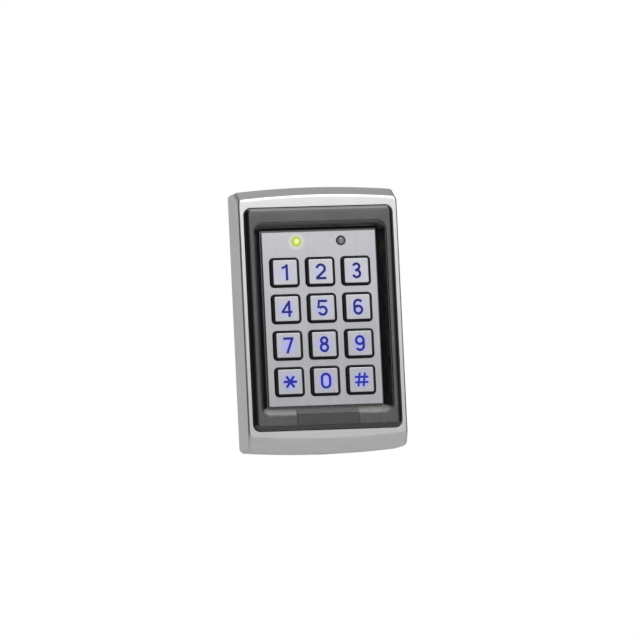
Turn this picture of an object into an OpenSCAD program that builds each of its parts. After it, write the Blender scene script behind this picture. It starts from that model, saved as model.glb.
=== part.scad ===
// Keypad access reader: a die-cast housing on a wall plate, with a black inner frame,
// a brushed face plate and twelve backlit metal keys.
//
// Every module is drawn flat: X to the right, Y up the wall and Z away from the wall.
// upright() then stands it up, so the finished reader faces -Y, its top is +Z, and its
// origin is the centre of the mounting plate's back, on the wall. Heights named *_h are
// measured from the wall.

/* [Housing] */
// Width across the back
housing_w = 74.2; // [72:0.2:76]
// How far the top end reaches above the middle
top_reach = 60; // [59:0.1:61]
// How far the bottom end reaches below the middle
bottom_reach = 60.6; // [60:0.1:61]
// Depth from the wall to the metal rim
housing_h = 20.4; // [20:0.2:21]
// How much narrower the rim is than the back
side_draft = 0.6; // [0:0.1:1]
// How far the bevel at the top runs in from the end
top_bevel = 4.3; // [3:0.1:4.6]
// How far the bevel at the top falls back from the rim
top_drop = 9; // [2:0.5:12]
// How far the bevel at the bottom runs in from the end
bottom_bevel = 5.4; // [4:0.1:5.6]
// How far the bevel at the bottom falls back from the rim
bottom_drop = 3; // [2:0.5:12]
// How far each end bulges in the middle
end_bulge = 1.7; // [1:0.1:2]
// Radius of the two top corners
top_corner_r = 2; // [1.5:0.1:4]
// Radius of the two bottom corners
bottom_corner_r = 2.6; // [1.5:0.1:4]
// Radius of the edge round the rim
rim_edge_r = 0.9; // [0.4:0.1:1.2]

/* [Inner frame] */
// Width of the opening in the metal rim
opening_w = 68.9; // [68:0.1:69.2]
// Height of the opening in the metal rim
opening_l = 101.1; // [100:0.1:102]
// Height of the black crest above the wall
crest_h = 22.4; // [21.6:0.1:23]
// Width of the rounded outer lip
lip_w = 2.4; // [1.6:0.1:2.6]
// Width of the well between the crests
well_w = 60.6; // [60:0.1:61]
// Height of the well between the crests
well_l = 87.2; // [86:0.1:88]
// Depth of the upright step at the top of the well
well_step = 0.8; // [0.4:0.1:1.2]
// Width of the blank name plaque
plaque_w = 28.6; // [20:0.2:36]

/* [Face plate] */
// Width of the face plate
plate_w = 52.4; // [51:0.2:53]
// Height of the face plate
plate_l = 78.6; // [78:0.2:79]
// Height of its front above the wall
plate_h = 18.6; // [18.4:0.1:18.8]
// Thickness of the face plate
plate_t = 1.5; // [1:0.1:1.6]

/* [Keys] */
// Distance between neighbouring keys
key_pitch = 16.5; // [16:0.1:16.8]
// Height of the second row's centre line
key_row = 4.55; // [4:0.05:5]
// Width of the opening round each key
key_hole_w = 13.9; // [13.6:0.1:14]
// Height of the opening round each key
key_hole_l = 13.6; // [13.4:0.1:14]
// Side of the square metal cap
cap_w = 11.1; // [10.6:0.1:11.6]
// Height of the caps above the wall
cap_h = 20.4; // [20:0.1:20.8]
// Thickness of the metal cap
cap_t = 1.1; // [0.9:0.1:1.3]
// How far a key is pressed
key_travel = 1; // [0.5:0.1:1]
// Height of a figure
figure_l = 7.3; // [6:0.1:7.6]
// Stroke of a figure
stroke = 1.15; // [0.7:0.05:1.2]

/* [Indicators] */
// Distance of each indicator from the middle
indicator_x = 10.3; // [9:0.1:12]
// Height of the indicators
indicator_y = 35; // [34.5:0.1:35.2]
// Diameter of an indicator lens
lens_d = 3; // [2.6:0.1:3.2]

/* [Back] */
// Thickness of the steel mounting plate
wall_plate_t = 1.5; // [1.2:0.1:1.6]
// Thickness of the rear cover
cover_t = 2; // [1.8:0.1:2]
// Height of the rear cover's outer face above the wall
cover_h = 5.4; // [5.4:0.1:5.6]
// Height of the cable entry above the middle
cable_y = 6; // [0:0.5:10]
// Radius of the cable hole in the grommet
cable_r = 2.6; // [2:0.1:3]
// Height between the screws of a single-gang box
gang_pitch = 83.3; // [83:0.1:84]
// Height between the screws of a round flush box
flush_pitch = 60.3; // [60:0.1:61]
// Radius of each hole for a wall screw
wall_hole_r = 2.2; // [2:0.1:2.4]

/* [Hidden] */
$fn = 64;
eps = 0.01;
fit_gap = 0.2;

// Keys, row by row from the top left
KEYS = ["1", "2", "3", "4", "5", "6", "7", "8", "9", "star", "0", "hash"];
KEY_COLUMNS = 3;

// Housing: the back recess holds the cover, the waist is open, the front recess holds the frame
back_recess_w = 68.8;
back_recess_l = 111.2;
recess_r = 2.6;
ledge_h = cover_h + cover_t;
waist_w = 64;
waist_l = 89.4;
seat_h = 16.9;
opening_r = 3.3;
end_steps = 16;
corner_step = 15;
edge_step = 22.5;

// Inner frame
frame_w = opening_w - 2 * fit_gap;
frame_l = opening_l - 2 * fit_gap;
frame_r = opening_r - fit_gap;
frame_back_h = 15.6;
shelf_h = plate_h - plate_t;
lip_h = crest_h - 2.1;
step_h = crest_h - well_step;
well_r = 4.2;
slope_run = 3.1;
slope_lip = 0.3;
floor_r = 1.6;
window_w = 48.2;
window_l = 75.6;
groove_w = 1.6;
groove_inner_w = 61.8;
groove_inner_l = 88.8;
groove_h = 20.4;
coil_w = 1.4;
coil_from_h = 17;
coil_to_h = 20;
plaque_bed = 0.5;
plaque_t = 0.75;
plaque_end_y = -48.3;
plaque_foot_y = -41.1;

// Keys
key_hole_r = 2;
collar_gap = 0.35;
collar_edge = 0.3;
collar_h = cap_h - cap_t;
cap_r = 0.7;
cap_edge = 0.22;
figure_t = 0.4;
flange_over = 0.35;
flange_h = 15.4;
flange_t = 1.4;
key_window = 8.4;
key_rib_w = 1.2;
key_rib_t = 1.6;
post_r = 2.6;

// Board and mat
board_w = 62;
board_l = 88.4;
board_r = 2;
board_h = 9.4;
board_t = 1.6;
board_front_h = board_h + board_t;
mat_w = 51;
mat_from_y = -37;
mat_to_y = 30.4;
mat_t = 0.8;
dome_roof = 1.2;
dome_top_h = board_front_h + mat_t + key_travel + dome_roof;
post_clear = 0.1;
post_h = dome_top_h + post_clear;
led_window = [3, 2.4];
led_size = [2, 1.25, 0.7];

// Screws: [head radius, head height, shank radius, shank length]
small_screw = [1.9, 1.3, 1, 5];
cover_screw = [2.35, 1.2, 1.2, 6.4];
lock_screw = [2.6, 1.6, 1.45, 6.4];
small_clear_r = 1.2;
small_hole_r = 1.03;
cover_hole_r = 1.25;
lock_hole_r = 1.5;
frame_screw_at = [20, 47.5];
frame_screw_seat_h = 14.4;
board_screw_at = [28, 41];
cover_screw_at = [29, 52.7];
frame_post_r = 2.3;

// Seal and grommet in the rear cover
seal_w = 1.1;
seal_inner_w = 64.6;
seal_inner_l = 99.7;
seal_r = 2;
seal_t = 1;
grommet_waist_r = 4;
grommet_flange_r = 5.4;
grommet_lip = 1;

// Mounting plate
wall_plate_w = 66.4;
wall_plate_l = 106;
wall_plate_r = 3;
cable_opening_r = 9;
anchor_at = [26, 44];
hook_x = 13;
hook_w = 6;
hook_top_y = 55.2;
hook_h = 4;
rib_w = 10;
rib_y = 53.6;
rib_from_h = 0.3;
rib_to_h = 1.8;
tab_w = 10;
tab_h = 5.2;
lock_h = 3.2;
lock_head_y = -58.6;

// ---------------------------------------------------------------- shared shapes

module upright() {
    rotate([90, 0, 0]) children();
}

module rounded(w, l, r) {
    square([w - 2 * r, l], center = true);
    square([w, l - 2 * r], center = true);
    for (x = [-1, 1], y = [-1, 1])
        translate([x * (w / 2 - r), y * (l / 2 - r)])
            circle(r);
}

// A rounded rectangle between two heights
module slab(w, l, r, from, to) {
    translate([0, 0, from])
        linear_extrude(to - from)
            rounded(w, l, r);
}

// A rectangular ring between two heights, wider than its hole by `band` all round
module ring(inner_w, inner_l, inner_r, band, from, to) {
    difference() {
        slab(inner_w + 2 * band, inner_l + 2 * band, inner_r + band, from, to);
        slab(inner_w, inner_l, inner_r, from - 1, to + 1);
    }
}

// A round peg or drill between two heights
module peg(r, from, to) {
    translate([0, 0, from])
        cylinder(r = r, h = to - from);
}

// Sweeps a profile round a rounded rectangle, its X running in from the outline and its
// Y up from the wall
module moulding(w, l, r) {
    for (turn = [0, 180])
        rotate(turn) {
            translate([w / 2, l / 2 - r, 0])
                rotate([90, 0, 0])
                    linear_extrude(l - 2 * r)
                        mirror([1, 0]) children();
            translate([r - w / 2, l / 2, 0])
                rotate([90, 0, 90])
                    linear_extrude(w - 2 * r)
                        mirror([1, 0]) children();
            translate([w / 2 - r, l / 2 - r, 0])
                rotate_extrude(angle = 90)
                    translate([r, 0]) mirror([1, 0]) children();
            translate([r - w / 2, l / 2 - r, 0])
                rotate([0, 0, 90])
                    rotate_extrude(angle = 90)
                        translate([r, 0]) mirror([1, 0]) children();
        }
}

// A rounded rectangle whose front edge is a quarter round, `run` wide and `rise` high
module soft_slab(w, l, r, from, to, run, rise) {
    bond = (r - run) / 2;
    slab(w - 2 * run, l - 2 * run, r - run, from, to);
    moulding(w, l, r)
        polygon(concat(
            [for (a = [0:edge_step:90]) [run * (1 - cos(a)), to - rise * (1 - sin(a))]],
            [[run + bond, to], [run + bond, from], [0, from]]
        ));
}

module at_corners(at) {
    for (x = [-1, 1], y = [-1, 1])
        translate([x * at[0], y * at[1], 0])
            children();
}

// A screw that points up, with its head's seat at height zero
module screw(size, countersunk = false) {
    difference() {
        union() {
            if (countersunk)
                translate([0, 0, -eps])
                    cylinder(r1 = size[0], r2 = size[2], h = size[1]);
            else
                peg(size[0], -size[1], 0);
            peg(size[2], -eps, size[3]);
        }
        translate([0, 0, countersunk ? -1 : -size[1] - 1])
            cylinder(r = size[0] * 0.5, h = 1 + size[1] * 0.55, $fn = 6);
    }
}

// ---------------------------------------------------------------- front_bezel

function end_y(x, half_w, half_l) = half_l - end_bulge * pow(x / half_w, 2);

// One end of the housing's outline, from its right corner round to its left corner
function end_outline(half_w, half_l, r) =
    let (cx = half_w - r, cy = end_y(cx, half_w, half_l) - r)
    concat(
        [for (a = [0:corner_step:90]) [cx + r * cos(a), cy + r * sin(a)]],
        [for (i = [1:end_steps - 1])
            let (x = cx * (1 - 2 * i / end_steps))
            [x, end_y(x, half_w, half_l)]],
        [for (a = [90:corner_step:180]) [r * cos(a) - cx, cy + r * sin(a)]]
    );

// How much of a bevel that falls back by `drop` is behind height h
function bevel_part(h, drop) = max(0, 1 - (housing_h - h) / drop);

// A thin slice of the housing at height h, drawn in by `inset` all round
module housing_slice(h, inset) {
    half_w = (housing_w - side_draft * h / housing_h) / 2 - inset;
    top_l = top_reach - top_bevel * bevel_part(h, top_drop) - inset;
    bottom_l = bottom_reach - bottom_bevel * bevel_part(h, bottom_drop) - inset;
    top = end_outline(half_w, top_l, top_corner_r - inset);
    bottom = end_outline(half_w, bottom_l, bottom_corner_r - inset);
    translate([0, 0, h])
        linear_extrude(eps)
            polygon(concat(top, -bottom));
}

module housing_block() {
    hull() {
        for (h = [0, housing_h - top_drop, housing_h - bottom_drop])
            housing_slice(h, 0);
        for (a = [0:edge_step:90])
            housing_slice(
                housing_h - eps - rim_edge_r * (1 - sin(a)),
                rim_edge_r * (1 - cos(a))
            );
    }
}

module front_bezel() {
    color([0.72, 0.72, 0.74]) upright() {
        difference() {
            housing_block();
            slab(back_recess_w, back_recess_l, recess_r, -1, ledge_h);
            slab(waist_w, waist_l, recess_r, ledge_h - 1, seat_h + 1);
            slab(opening_w, opening_l, opening_r, seat_h, housing_h + 1);
            at_corners(cover_screw_at)
                peg(cover_hole_r, ledge_h - 1, cover_h + cover_screw[3] + 0.6);
            at_corners(frame_screw_at) {
                peg(small_screw[0] + 0.25, ledge_h - 1, frame_screw_seat_h);
                peg(small_clear_r, frame_screw_seat_h - 1, seat_h + 1);
            }
            lock_hole();
        }
        for (side = [-1, 1])
            translate([side * hook_x - rib_w / 2, rib_y, rib_from_h])
                cube([rib_w, back_recess_l / 2 - rib_y + 1, rib_to_h - rib_from_h]);
    }
}

// The stepped hole for the locking screw, in the bottom wall
module lock_hole() {
    translate([0, lock_head_y, lock_h])
        rotate([-90, 0, 0]) {
            peg(lock_screw[0] + 0.2, -8, lock_screw[1]);
            peg(lock_screw[2] + 0.25, 0, 8);
        }
}

// ---------------------------------------------------------------- inner_frame

// The slope between the well's upright step and the shelf that carries the face plate
module well_slope() {
    bond = 0.3;
    moulding(well_w - 2 * slope_lip, well_l - 2 * slope_lip, well_r - slope_lip)
        polygon([
            [-bond, shelf_h - bond],
            [-bond, step_h],
            [0, step_h],
            [slope_run, shelf_h],
            [slope_run, shelf_h - bond]
        ]);
}

module inner_frame() {
    groove_r = 2;
    color([0.09, 0.09, 0.1]) upright() difference() {
        union() {
            difference() {
                union() {
                    soft_slab(frame_w, frame_l, frame_r, seat_h, crest_h,
                        lip_w, crest_h - lip_h);
                    slab(waist_w - 2 * fit_gap, waist_l - 2 * fit_gap,
                        recess_r - fit_gap, frame_back_h, seat_h + 1);
                }
                slab(well_w, well_l, well_r, step_h, crest_h + 1);
                slab(well_w - 2 * slope_lip, well_l - 2 * slope_lip, well_r - slope_lip,
                    shelf_h, crest_h);
            }
            well_slope();
            at_corners(board_screw_at)
                peg(frame_post_r, board_front_h, shelf_h - 0.5);
        }
        slab(window_w, window_l, floor_r, frame_back_h - 1, shelf_h + 1);
        ring(groove_inner_w, groove_inner_l, groove_r, groove_w, frame_back_h - 1, groove_h);
        at_corners(board_screw_at)
            peg(small_hole_r, board_front_h - 1, board_h + small_screw[3] + 0.5);
        at_corners(frame_screw_at)
            peg(small_hole_r, seat_h - 1, frame_screw_seat_h + small_screw[3] + 0.5);
        plaque_prism(plaque_w + fit_gap, plaque_bed, 1);
    }
}

// ---------------------------------------------------------------- name_plaque

// Height of the well's lower slope at distance y up the wall
function slope_h(y) =
    step_h - (y + well_l / 2 - slope_lip) / slope_run * (step_h - shelf_h);

// A bar along X that follows the crest and the slope below the face plate. It reaches
// `sunk` below their surfaces and `proud` above them.
module plaque_prism(w, sunk, proud) {
    edge_y = -well_l / 2 + slope_lip;
    translate([w / 2, 0, 0])
        rotate([0, -90, 0])
            linear_extrude(w)
                polygon([
                    [crest_h - sunk, plaque_end_y],
                    [crest_h + proud, plaque_end_y],
                    [crest_h + proud, edge_y + proud],
                    [slope_h(plaque_foot_y) + proud, plaque_foot_y + proud],
                    [slope_h(plaque_foot_y) - sunk, plaque_foot_y - sunk],
                    [step_h - sunk, edge_y - sunk],
                    [crest_h - sunk, edge_y - sunk]
                ]);
}

module name_plaque() {
    color([0.16, 0.16, 0.17]) upright()
        plaque_prism(plaque_w, plaque_bed, plaque_t - plaque_bed);
}

// ---------------------------------------------------------------- face_plate

function key_x(i) = (i % KEY_COLUMNS - 1) * key_pitch;
function key_y(i) = key_row + (1 - floor(i / KEY_COLUMNS)) * key_pitch;

module at_keys() {
    for (i = [0:len(KEYS) - 1])
        translate([key_x(i), key_y(i), 0])
            children();
}

module at_indicators() {
    for (side = [-1, 1])
        translate([side * indicator_x, indicator_y, 0])
            children();
}

module face_plate() {
    hole_r = lens_d / 2 + 0.75;
    color([0.74, 0.74, 0.77]) upright() difference() {
        slab(plate_w, plate_l, 0.3, shelf_h, plate_h);
        at_keys()
            slab(key_hole_w, key_hole_l, key_hole_r, shelf_h - 1, plate_h + 1);
        at_indicators()
            peg(hole_r, shelf_h - 1, plate_h + 1);
    }
}

// ---------------------------------------------------------------- indicators

module lens_holders() {
    bore_r = lens_d / 2 + 0.05;
    tube_r = lens_d / 2 + 0.7;
    color([0.12, 0.12, 0.13]) upright() at_indicators() difference() {
        union() {
            peg(tube_r, shelf_h - 2, plate_h + 0.25);
            peg(tube_r + 0.4, shelf_h - 1.2, shelf_h);
        }
        peg(bore_r, shelf_h - 3, plate_h + 1);
    }
}

// A clear rod from the lamp to the front, with a domed end
module lens(side) {
    rod_r = lens_d / 2;
    dome = 0.5;
    dome_r = (rod_r * rod_r + dome * dome) / (2 * dome);
    rim_h = plate_h + 0.2;
    upright() translate([side * indicator_x, indicator_y, 0]) {
        peg(rod_r, board_front_h + 1.2, rim_h);
        intersection() {
            translate([0, 0, rim_h + dome - dome_r]) sphere(dome_r);
            peg(rod_r, rim_h - 0.3, rim_h + dome + 1);
        }
    }
}

module status_lens_left() {
    color([0.75, 0.95, 0.25]) lens(-1);
}

module status_lens_right() {
    color([0.45, 0.45, 0.47]) lens(1);
}

// ---------------------------------------------------------------- figures

// A straight stroke between two points, with square ends
module bar(from, to, w = stroke) {
    step = to - from;
    translate(from)
        rotate(atan2(step[1], step[0]))
            translate([0, -w / 2])
                square([norm(step), w]);
}

// A curved stroke of outer radius r, from angle a0 round to a1
module bow(centre, r, a0, a1, w = stroke) {
    far = 3 * r;
    middle = (a0 + a1) / 2;
    translate(centre) intersection() {
        difference() {
            circle(r);
            circle(r - w);
        }
        polygon(concat(
            [[0, 0]],
            [for (a = [a0, (a0 + middle) / 2, middle, (a1 + middle) / 2, a1])
                far * [cos(a), sin(a)]]
        ));
    }
}

module loop(centre, r, w = stroke) {
    translate(centre) difference() {
        circle(r);
        circle(r - w);
    }
}

module figure_one() {
    top = figure_l / 2;
    x = 0.75;
    bar([x, -top], [x, top]);
    bar([x, top - 0.75], [x - 2.3, top - 1.75], stroke * 0.9);
}

module figure_two() {
    top = figure_l / 2;
    r = 2.4;
    foot = -top + stroke / 2;
    knee = [r - stroke / 2 - 0.35, top - r - 1.1];
    bow([0, top - r], r, -38, 172);
    bar(knee, [-1.9, foot + 0.25]);
    bar([-2.35, foot], [2.4, foot]);
}

module figure_three() {
    top = figure_l / 2;
    upper = 1.95;
    lower = 2.15;
    bow([0, top - upper], upper, -90, 165);
    bow([0, lower - top], lower, -165, 90);
    bar([-0.7, 2 * lower - top - stroke / 2], [0.2, 2 * lower - top - stroke / 2]);
}

module figure_four() {
    top = figure_l / 2;
    stem = 1.1;
    deck = -1.45;
    bar([stem, -top], [stem, top]);
    bar([-2.5, deck], [2.5, deck], stroke * 0.9);
    bar([-2.15, deck], [stem, top - 0.45], stroke * 0.9);
}

module figure_five() {
    top = figure_l / 2;
    r = 2.35;
    bar([-1.75, top - stroke / 2], [2.2, top - stroke / 2]);
    bar([-1.5, top], [-1.95, -0.1], stroke * 0.9);
    bow([0, r - top], r, -160, 142);
}

module figure_six() {
    top = figure_l / 2;
    r = 2.3;
    side = -r + stroke / 2;
    loop([0, r - top], r);
    bar([side, r - top], [side, top - r]);
    bow([0, top - r], r, 28, 180);
}

module figure_seven() {
    top = figure_l / 2;
    bar([-2.4, top - stroke / 2], [2.4, top - stroke / 2]);
    bar([1.85, top - 0.5], [-0.75, -top]);
}

module figure_eight() {
    top = figure_l / 2;
    upper = 1.95;
    lower = 2.2;
    loop([0, top - upper], upper);
    loop([0, lower - top], lower);
}

module figure_zero() {
    r = 2.45;
    difference() {
        rounded(2 * r, figure_l, r - eps);
        rounded(2 * (r - stroke), figure_l - 2 * stroke, r - stroke - eps);
    }
}

module figure_star() {
    arm = 3.1;
    bar([-arm, 0], [arm, 0]);
    for (a = [55, 125])
        bar(-arm * [cos(a), sin(a)], arm * [cos(a), sin(a)]);
}

module figure_hash() {
    reach = 3.1;
    lean = 0.45;
    apart = 1.2;
    for (side = [-apart, apart]) {
        bar([-reach, side], [reach, side], stroke * 0.85);
        bar([side - lean, -reach], [side + lean, reach], stroke * 0.85);
    }
}

module figure(i) {
    if (i == 0) figure_one();
    if (i == 1) figure_two();
    if (i == 2) figure_three();
    if (i == 3) figure_four();
    if (i == 4) figure_five();
    if (i == 5) figure_six();
    if (i == 6) figure_seven();
    if (i == 7) figure_eight();
    if (i == 8) rotate(180) figure_six();
    if (i == 9) figure_star();
    if (i == 10) figure_zero();
    if (i == 11) figure_hash();
}

// ---------------------------------------------------------------- keys

module key_cap(i) {
    color([0.76, 0.76, 0.79]) upright() translate([key_x(i), key_y(i), 0])
        difference() {
            soft_slab(cap_w, cap_w, cap_r, collar_h, cap_h, cap_edge, cap_edge);
            translate([0, 0, cap_h - figure_t])
                linear_extrude(figure_t + 1)
                    figure(i);
        }
}

module key_legend(i) {
    color([0.25, 0.22, 0.85]) upright() translate([key_x(i), key_y(i), cap_h - figure_t])
        linear_extrude(figure_t)
            figure(i);
}

// The black plunger: a collar round the cap, a flange behind the face plate, and a post
// on two ribs that presses the mat and lets the light past
module key_body(i) {
    w = key_hole_w - 2 * collar_gap;
    l = key_hole_l - 2 * collar_gap;
    r = key_hole_r - collar_gap;
    color([0.08, 0.08, 0.09]) upright() translate([key_x(i), key_y(i), 0]) {
        difference() {
            union() {
                soft_slab(w, l, r, flange_h, collar_h, collar_edge, collar_edge);
                slab(w + 2 * (collar_gap + flange_over), l + 2 * (collar_gap + flange_over), r,
                    flange_h, flange_h + flange_t);
            }
            slab(key_window, key_window, 0.6, flange_h - 1, collar_h + 1);
        }
        peg(post_r, post_h, flange_h + key_rib_t);
        for (turn = [0, 90])
            rotate(turn)
                translate([-key_window / 2 - eps, -key_rib_w / 2, flange_h])
                    cube([key_window + 2 * eps, key_rib_w, key_rib_t]);
    }
}

// ---------------------------------------------------------------- board

// Lamps stand between the columns, level with each row
module at_backlights() {
    for (side = [-0.5, 0.5], row = [0:len(KEYS) / KEY_COLUMNS - 1])
        translate([side * key_pitch, key_y(row * KEY_COLUMNS), 0])
            children();
}

module keypad_mat() {
    dome_base_r = 4.6;
    dome_r = 2.6;
    wall = 1;
    color([0.2, 0.2, 0.22]) upright() difference() {
        union() {
            translate([0, (mat_from_y + mat_to_y) / 2, 0])
                slab(mat_w, mat_to_y - mat_from_y, 2, board_front_h, board_front_h + mat_t);
            at_keys()
                translate([0, 0, board_front_h])
                    cylinder(r1 = dome_base_r, r2 = dome_r, h = dome_top_h - board_front_h);
        }
        at_keys()
            translate([0, 0, board_front_h - eps])
                cylinder(
                    r1 = dome_base_r - wall, r2 = dome_r - wall * 0.6,
                    h = dome_top_h - board_front_h - dome_roof
                );
        at_backlights()
            translate([0, 0, board_front_h])
                cube([led_window[0], led_window[1], 4], center = true);
    }
}

module circuit_board() {
    color([0.07, 0.28, 0.16]) upright() difference() {
        slab(board_w, board_l, board_r, board_h, board_front_h);
        at_corners(board_screw_at)
            peg(small_clear_r, board_h - 1, board_front_h + 1);
    }
}

module lamp() {
    translate([0, 0, board_front_h + led_size[2] / 2])
        cube(led_size, center = true);
}

module backlight_leds() {
    color([0.9, 0.9, 0.75]) upright() at_backlights() lamp();
}

module status_leds() {
    color([0.9, 0.9, 0.75]) upright() at_indicators() lamp();
}

module buzzer() {
    r = 4.7;
    sound_r = 0.9;
    color([0.1, 0.1, 0.11]) upright() translate([0, 37.4, 0]) difference() {
        peg(r, board_front_h, board_front_h + 4.2);
        peg(sound_r, board_front_h + 3, board_front_h + 5);
    }
}

// A chip of size [w, l, t] on the board's back, centred on `at`, with its legs
module chip(at, size, legs) {
    pitch = size[1] / legs;
    translate([at[0], at[1], board_h]) {
        translate([-size[0] / 2, -size[1] / 2, -size[2]])
            cube([size[0], size[1], size[2] - 0.1]);
        for (side = [-1, 1], i = [0:legs - 1])
            translate([side * (size[0] / 2 + 0.35), (i - (legs - 1) / 2) * pitch, -0.35])
                cube([0.9, pitch * 0.5, 0.7], center = true);
    }
}

module control_chips() {
    color([0.12, 0.12, 0.13]) upright() {
        chip([-16, 10], [9, 10, 1.4], 10);
        chip([-16, -14], [5, 6, 1.4], 4);
        chip([16, 24], [4, 5, 1.4], 4);
    }
}

module antenna_coil() {
    band = (groove_w - coil_w) / 2;
    color([0.72, 0.42, 0.2]) upright()
        ring(groove_inner_w + 2 * band, groove_inner_l + 2 * band, 2 + band, coil_w,
            coil_from_h, coil_to_h);
}

module wire_header() {
    size = [17, 5.2, 1.8];
    slots = 10;
    pitch = 1.5;
    color([0.92, 0.9, 0.82]) upright() translate([0, -12, board_h - size[2]]) difference() {
        translate([-size[0] / 2, -size[1] / 2, 0]) cube(size);
        for (i = [0:slots - 1])
            translate([(i - (slots - 1) / 2) * pitch, size[1] / 2, size[2] / 2])
                cube([0.9, 5, 1], center = true);
    }
}

module tamper_sensor() {
    size = [4.2, 3.4, 1.6];
    eye_r = 0.7;
    color([0.1, 0.1, 0.12]) upright() translate([0, -34, board_h - size[2]]) difference() {
        translate([-size[0] / 2, -size[1] / 2, 0]) cube(size);
        for (side = [-1, 1])
            translate([side * 1, 0, -eps]) cylinder(r = eye_r, h = 0.4);
    }
}

// ---------------------------------------------------------------- back

module rear_cover() {
    groove_gap = 0.05;
    color([0.11, 0.11, 0.12]) upright() difference() {
        union() {
            slab(back_recess_w - 3 * fit_gap, back_recess_l - 3 * fit_gap,
                recess_r - fit_gap, cover_h, ledge_h);
            for (side = [-1, 1])
                translate([side * 25, 0, 0])
                    slab(1.6, 70, 0.5, ledge_h - eps, board_h - 0.6);
        }
        ring(seal_inner_w - 2 * groove_gap, seal_inner_l - 2 * groove_gap,
            seal_r - groove_gap, seal_w + 2 * groove_gap, ledge_h - seal_t, ledge_h + 1);
        translate([0, cable_y, 0])
            peg(grommet_waist_r, cover_h - 1, ledge_h + 1);
        at_corners(cover_screw_at) {
            peg(cover_screw[2] + 0.15, cover_h - 1, ledge_h + 1);
            translate([0, 0, cover_h - eps])
                cylinder(
                    r1 = cover_screw[0] + 0.1, r2 = cover_screw[2] + 0.1,
                    h = cover_screw[1]
                );
        }
    }
}

module cover_seal() {
    color([0.2, 0.2, 0.2]) upright()
        ring(seal_inner_w, seal_inner_l, seal_r, seal_w, ledge_h - seal_t, ledge_h);
}

// A rubber bush: a lip on each side of the rear cover and a waist in its hole
module cable_grommet() {
    from_h = cover_h - grommet_lip;
    to_h = ledge_h + grommet_lip;
    color([0.15, 0.15, 0.15]) upright() translate([0, cable_y, 0]) rotate_extrude()
        polygon([
            [cable_r, from_h],
            [grommet_flange_r - 0.5, from_h],
            [grommet_flange_r, cover_h],
            [grommet_waist_r - 0.05, cover_h],
            [grommet_waist_r - 0.05, ledge_h],
            [grommet_flange_r, ledge_h],
            [grommet_flange_r - 0.5, to_h],
            [cable_r, to_h]
        ]);
}

// A hook of folded sheet that stands off the plate and turns up behind the housing's rib
module hook() {
    foot_y = wall_plate_l / 2 - wall_plate_t;
    translate([-hook_w / 2, foot_y, 0])
        cube([hook_w, wall_plate_t, hook_h]);
    translate([-hook_w / 2, foot_y, hook_h - wall_plate_t])
        cube([hook_w, hook_top_y - foot_y, wall_plate_t]);
}

module mounting_plate() {
    color([0.62, 0.63, 0.65]) upright() difference() {
        union() {
            slab(wall_plate_w, wall_plate_l, wall_plate_r, 0, wall_plate_t);
            for (side = [-1, 1])
                translate([side * hook_x, 0, 0])
                    hook();
            translate([-tab_w / 2, -wall_plate_l / 2, 0])
                cube([tab_w, wall_plate_t, tab_h]);
        }
        translate([0, cable_y, 0])
            peg(cable_opening_r, -1, wall_plate_t + 1);
        for (pitch = [gang_pitch, flush_pitch], side = [-1, 1])
            translate([0, side * pitch / 2, 0])
                peg(wall_hole_r, -1, wall_plate_t + 1);
        at_corners(anchor_at)
            peg(wall_hole_r, -1, wall_plate_t + 1);
        translate([0, -wall_plate_l / 2 - 1, lock_h])
            rotate([-90, 0, 0])
                cylinder(r = lock_hole_r, h = wall_plate_t + 2);
    }
}

module security_screw() {
    pin_r = 0.5;
    color([0.6, 0.6, 0.62]) upright() translate([0, lock_head_y, lock_h]) rotate([-90, 0, 0]) {
        translate([0, 0, lock_screw[1]]) screw(lock_screw);
        peg(pin_r, 0.3, lock_screw[1]);
    }
}

module cover_screws() {
    color([0.6, 0.6, 0.62]) upright()
        at_corners(cover_screw_at)
            translate([0, 0, cover_h])
                screw(cover_screw, countersunk = true);
}

module small_screws() {
    color([0.6, 0.6, 0.62]) upright() {
        at_corners(frame_screw_at)
            translate([0, 0, frame_screw_seat_h])
                screw(small_screw);
        at_corners(board_screw_at)
            translate([0, 0, board_h])
                screw(small_screw);
    }
}

// ---------------------------------------------------------------- nodes

front_bezel();
inner_frame();
name_plaque();
face_plate();
status_lens_left();
status_lens_right();
lens_holders();
for (i = [0:len(KEYS) - 1]) {
    key_cap(i);
    key_legend(i);
    key_body(i);
}
keypad_mat();
circuit_board();
backlight_leds();
status_leds();
buzzer();
control_chips();
antenna_coil();
wire_header();
tamper_sensor();
rear_cover();
cover_seal();
cable_grommet();
mounting_plate();
security_screw();
cover_screws();
small_screws();
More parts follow.
